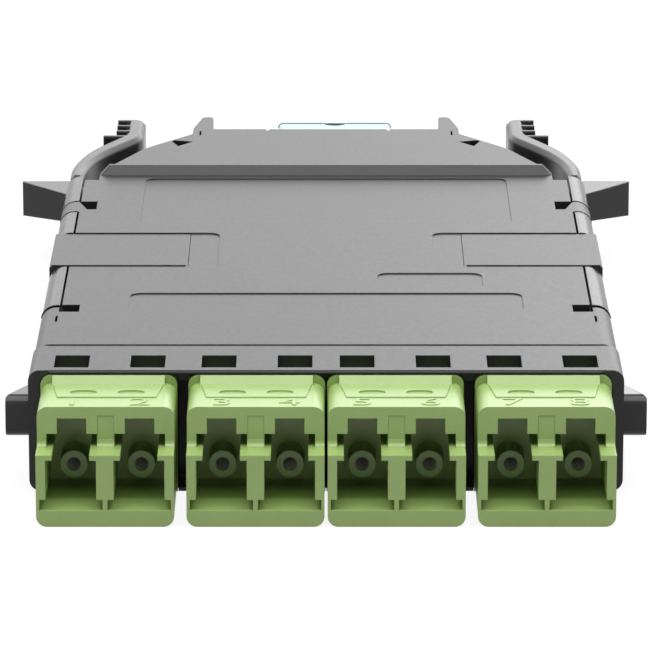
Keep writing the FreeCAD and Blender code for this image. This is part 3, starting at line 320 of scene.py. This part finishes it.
def port_shade(tree, colour):
    """The same colour, with painted shade inside the ports of the duplex adapters: darker lime behind the
    mouth, lighter painted lime deeper in.
    """
    boxes = [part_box(f"adapter_front_{adapter}") for adapter in (3, 4)]
    tip = boxes[0][0].y
    place = frame_place(tree)
    across = math_node(tree, "ABSOLUTE", place["X"])
    spans = [math_node(tree, "ABSOLUTE", math_node(tree, "SUBTRACT", across, (low.x + high.x) / 2))
             for low, high in boxes]
    within = math_node(tree, "LESS_THAN", math_node(tree, "MINIMUM", *spans), PORT_SHADE_HALF)
    below = math_node(tree, "LESS_THAN", place["Z"], PORT_SHADE_TOP)
    behind, deep = [mapped(tree, place["Y"], source=(tip + near, tip + far))
                    for near, far in (PORT_SHADE_DEPTHS, PORT_BACK_DEPTHS)]
    share = math_node(tree, "MULTIPLY", math_node(tree, "MULTIPLY", within, below), behind)
    return mixed(tree, share, colour, mixed(tree, deep, LIME_PAINTED_SHADE, LIME_PAINTED_BACK_LIGHT))


def steel(name):
    """Ground steel of the guide pins."""
    material, tree, shader = new_material(name)
    shade = shade_between(tree, noise(tree, STEEL_MOTTLE_SCALE), tinted(STEEL, STEEL_DARKEST), STEEL)
    gloss = mapped(tree, noise(tree, STEEL_GLOSS_SCALE), NOISE_SPAN, STEEL_ROUGHNESS)
    tree.links.new(shade, shader.inputs["Base Color"])
    tree.links.new(gloss, shader.inputs["Roughness"])
    shader.inputs["Metallic"].default_value = 1.0
    return material


def make_materials():
    """The materials by name: those of the record's slots, and the looks of single nodes and of the trim."""
    plastics = {
        "black_plastic": dict(colour=CHARCOAL, roughness=0.36, specular=0.28),
        "frame_plastic": dict(colour=CHARCOAL, roughness=0.36, specular=0.28, edge=0.16 * MM,
                              polish=lug_polish),
        "rail_plastic": dict(colour=CHARCOAL, roughness=0.24, specular=0.2),
        "latch_plastic": dict(colour=CHARCOAL, roughness=0.25, specular=0.22, edge=0.45 * MM),
        # lime of the adapters, with painted shade inside their ports
        "lime_plastic": dict(colour=LIME, roughness=0.36, specular=0.7, inside=port_shade),
        "ceramic": dict(colour=ZIRCONIA, roughness=0.2, specular=0.6, variation=0.02),
        "plug_plastic": dict(colour=LIME_DEEP, roughness=0.4),
        "boot_rubber": dict(colour=RUBBER, roughness=0.7, specular=0.3),
        "fibre_jacket": dict(colour=LIME_DEEP, roughness=0.5),
        "aqua_plastic": dict(colour=AQUA, roughness=0.35),
        # darker aqua for the rear adapter's trim: painted shade
        "aqua_painted_shade": dict(colour=AQUA_PAINTED_SHADE, roughness=0.45, specular=0.3, edge=0.03 * MM),
        "dark_plastic": dict(colour=DARK, roughness=0.5, specular=0.3),
    }
    materials = {name: plastic(name, **look) for name, look in plastics.items()}
    materials["pin_steel"] = steel("pin_steel")
    return materials


def dress_nodes(frame, materials):
    """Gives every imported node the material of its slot, or its own look."""
    slots = {entry["node"]: entry["material_slot"] for entry in frame["record"]["subparts"]}
    slots.update(OWN_LOOKS)
    for name, node in frame["nodes"].items():
        node.data.materials.clear()
        node.data.materials.append(materials[slots[name]])


def number_mesh(text):
    """Mesh of one plain raised number, widened and centred on its own origin."""
    curve = bpy.data.curves.new("number_curve", "FONT")
    curve.body = text
    curve.size = NUMBER_SIZE
    curve.extrude = NUMBER_RISE
    curve.resolution_u = NUMBER_CURVE_STEPS
    curve.align_x = "CENTER"
    curve.align_y = "CENTER"
    holder = add_object("number_holder", curve)
    bpy.context.view_layer.update()
    mesh = bpy.data.meshes.new_from_object(holder.evaluated_get(bpy.context.evaluated_depsgraph_get()))
    bpy.data.objects.remove(holder)
    bpy.data.curves.remove(curve)
    mesh.transform(Matrix.Diagonal((NUMBER_STRETCH, 1, 1, 1)))
    return mesh


def make_numbers(material):
    """Plain numbers 1 to 8 over the ports, two on the roof of each adapter."""
    for adapter in range(1, 5):
        low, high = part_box(f"adapter_front_{adapter}")
        for side in (0, 1):
            number = 2 * adapter - 1 + side
            piece = add_object(f"port_number_{number}", number_mesh(str(number)))
            piece.data.materials.clear()
            piece.data.materials.append(material)
            offset = (2 * side - 1) * NUMBER_OFFSET
            piece.location = ((low.x + high.x) / 2 + offset, low.y + NUMBER_FROM_TIP, high.z - ROOF_BELOW_TOP)
            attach(piece, "cassette")


def trim_piece(name, sections, material):
    """Closed strip through equal sections of points, added to the cassette."""
    shell = bmesh.new()
    rings = [[shell.verts.new(point) for point in section] for section in sections]
    count = len(rings[0])
    for near, far in zip(rings, rings[1:]):
        for index in range(count):
            after = (index + 1) % count
            shell.faces.new((near[index], near[after], far[after], far[index]))
    shell.faces.new(reversed(rings[0]))
    shell.faces.new(rings[-1])
    bmesh.ops.recalc_face_normals(shell, faces=shell.faces)
    mesh = bpy.data.meshes.new(name)
    shell.to_mesh(mesh)
    shell.free()
    mesh.materials.append(material)
    piece = add_object(name, mesh)
    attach(piece, "cassette")


def corner_places(edge, side, top, radius, turn):
    """Places round an upper corner and their outward directions, from the flat top downwards."""
    centre = Vector((edge - side * radius, 0, top - radius))
    for step in range(CORNER_STEPS + 1):
        angle = math.radians(turn * step / CORNER_STEPS)
        outward = Vector((side * math.sin(angle), 0, math.cos(angle)))
        yield centre + outward * radius, outward


def rim_section(place, outward, front, depth, rise):
    """Four points across a rim at one place of its outline."""
    near, far = Vector((0, front, 0)), Vector((0, front + depth, 0))
    inner, outer = place - outward * TRIM_SINK, place + outward * rise
    return [inner + near, outer + near, outer + far, inner + far]


def rim_piece(name, places, front, depth, rise, material):
    """Thin rim along places, each with its outward direction."""
    sections = [rim_section(place, outward, front, depth, rise) for place, outward in places]
    trim_piece(name, sections, material)


def make_hood_edge(material):
    """Thin lip along the front edge of the hood, round into its corners."""
    low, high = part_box("cover")
    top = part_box("front_frame")[1].z
    left, right = (list(corner_places(edge, side, top, RAIL_CORNER, HOOD_EDGE_TURN))
                   for edge, side in ((low.x, -1), (high.x, 1)))
    rim_piece("hood_edge", left[::-1] + right, low.y, HOOD_EDGE_DEPTH, HOOD_EDGE_RISE, material)


def make_rail_lips(material):
    """Thin lips round the rails where the cover's tabs meet them."""
    low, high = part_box("cover")
    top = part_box("front_frame")[1].z
    for name, (front, rise) in RAIL_LIPS.items():
        for hand, edge, side in (("left", low.x, -1), ("right", high.x, 1)):
            start = Vector((edge - side * RAIL_LIP_FLAT, 0, top)), UP
            places = (start, *corner_places(edge, side, top, RAIL_CORNER, RAIL_LIP_TURN))
            rim_piece(f"{name}_lip_{hand}", places, front, RAIL_LIP_DEPTH, rise, material)


def make_clip_edges(material):
    """Thin lip along the front edge of each side clip, on the cover."""
    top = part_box("front_frame")[1].z
    for hand in ("left", "right"):
        low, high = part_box(f"side_clip_{hand}")
        places = [(Vector((x, 0, top)), UP) for x in (low.x + CLIP_EDGE_INSET, high.x - CLIP_EDGE_INSET)]
        rim_piece(f"clip_edge_{hand}", places, low.y, RAIL_LIP_DEPTH, CLIP_EDGE_RISE, material)


def make_frame_brow(material):
    """Narrow slope along the frame's upper front edge, over the adapters."""
    low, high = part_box("front_frame")
    full = BROW_HALF - BROW_RUN_OUT
    sections = []
    for x, share in ((-BROW_HALF, BROW_END_SHARE), (-full, 1), (full, 1), (BROW_HALF, BROW_END_SHARE)):
        sections.append([
            Vector((x, low.y + TRIM_SINK, high.z)),
            Vector((x, low.y, high.z)),
            Vector((x, low.y - BROW_REACH * share, high.z - BROW_HEIGHT * share)),
            Vector((x, low.y + TRIM_SINK, high.z - BROW_HEIGHT * share)),
        ])
    trim_piece("frame_brow", sections, material)


def make_rear_adapter_trim(material):
    """Raised rim round the shoulders of the rear adapter, open at the thumb hollow, and the hollow's wall; in
    the darker aqua they paint shade on the rim's edge and in the hollow.
    """
    low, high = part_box("mpo_adapter_outer")
    middle = (low.x + high.x) / 2
    for name, side, edge in (("mpo_rim_left", -1, low.x), ("mpo_rim_right", 1, high.x)):
        start = Vector((middle + side * THUMB_HALF, 0, high.z)), UP
        places = (start, *corner_places(edge, side, high.z, RIM_CORNER, RIM_TURN))
        rim_piece(name, places, high.y - RIM_SETBACK, RIM_DEPTH, RIM_RISE, material)
    front, foot = high.y - THUMB_WALL, high.z - THUMB_DEPTH
    corners = ((front, foot), (high.y, foot), (high.y, high.z), (front, high.z))
    sections = [[Vector((middle + x, *corner)) for corner in corners] for x in (-THUMB_HALF, THUMB_HALF)]
    trim_piece("mpo_thumb_wall", sections, material)


def seen_ray(tree):
    """Socket that is 1 for rays of the camera, reflections and see-through paths."""
    rays = tree.nodes.new("ShaderNodeLightPath").outputs
    direct = math_node(tree, "MAXIMUM", rays["Is Camera Ray"], rays["Is Glossy Ray"])
    return math_node(tree, "MAXIMUM", direct, rays["Is Transmission Ray"])


def make_floor():
    """Pale floor that shows white, keeps a soft shadow and throws back less light than white would."""
    mesh = bpy.data.meshes.new("floor")
    corners = [(x * FLOOR_HALF, y * FLOOR_HALF, 0) for x, y in ((-1, -1), (1, -1), (1, 1), (-1, 1))]
    mesh.from_pydata(corners, [], [(0, 1, 2, 3)])
    floor = add_object("floor", mesh)
    material, tree, shader = new_material("floor")
    seen = seen_ray(tree)
    tree.links.new(mixed(tree, seen, FLOOR_BOUNCE, FLOOR_SEEN), shader.inputs["Base Color"])
    shader.inputs["Roughness"].default_value = FLOOR_ROUGHNESS
    shader.inputs["Specular IOR Level"].default_value = 0.0
    white = tree.nodes.new("ShaderNodeEmission")
    mix = tree.nodes.new("ShaderNodeMixShader")
    tree.links.new(math_node(tree, "MULTIPLY", seen, FLOOR_SHOWN), mix.inputs["Fac"])
    tree.links.new(shader.outputs["BSDF"], mix.inputs[1])
    tree.links.new(white.outputs["Emission"], mix.inputs[2])
    tree.links.new(mix.outputs["Shader"], tree.nodes["Material Output"].inputs["Surface"])
    mesh.materials.append(material)


def make_world():
    """White for what the camera and reflections see, and a softer level for the light it sheds."""
    world = bpy.data.worlds.new("world")
    bpy.context.scene.world = world
    world.use_nodes = True
    tree = world.node_tree
    background = tree.nodes["Background"]
    background.inputs["Color"].default_value = (1, 1, 1, 1)
    tree.links.new(mapped(tree, seen_ray(tree), target=(AMBIENT, 1)), background.inputs["Strength"])


def make_lamps(middle):
    """Rectangular soft boxes, each aimed at the middle of the cassette."""
    for name, (power, (width, height), place) in SOFT_BOXES.items():
        data = bpy.data.lights.new(name, "AREA")
        data.shape = "RECTANGLE"
        data.energy = power
        data.size = width
        data.size_y = height
        lamp = add_object(name, data)
        lamp.location = place
        lamp.rotation_euler = (middle - lamp.location).to_track_quat("-Z", "Y").to_euler()


def make_camera(frame_front):
    """Camera at the photograph's place, height and pitch."""
    data = bpy.data.cameras.new("camera")
    data.lens = LENS
    data.sensor_width = SENSOR
    data.clip_start = VIEW_NEAR
    data.clip_end = VIEW_FAR
    camera = add_object("camera", data)
    camera.location = (CAMERA_X, frame_front - CAMERA_DISTANCE, CAMERA_HEIGHT)
    camera.rotation_euler = (math.radians(90 - PITCH), 0, 0)
    bpy.context.scene.camera = camera


def main():
    """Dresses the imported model, adds the trim and sets the stage."""
    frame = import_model()
    cad_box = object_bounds()
    materials = make_materials()
    dress_nodes(frame, materials)
    make_numbers(materials["lime_plastic"])
    make_hood_edge(materials["black_plastic"])
    make_rail_lips(materials["black_plastic"])
    make_clip_edges(materials["black_plastic"])
    make_frame_brow(materials["black_plastic"])
    # rear adapter's rim and thumb wall in darker aqua: painted shade
    make_rear_adapter_trim(materials["aqua_painted_shade"])
    make_floor()
    make_world()
    make_lamps((cad_box[0] + cad_box[1]) / 2)
    make_camera(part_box("front_frame")[0].y)
    bpy.context.scene.view_settings.view_transform = "Standard"


main()
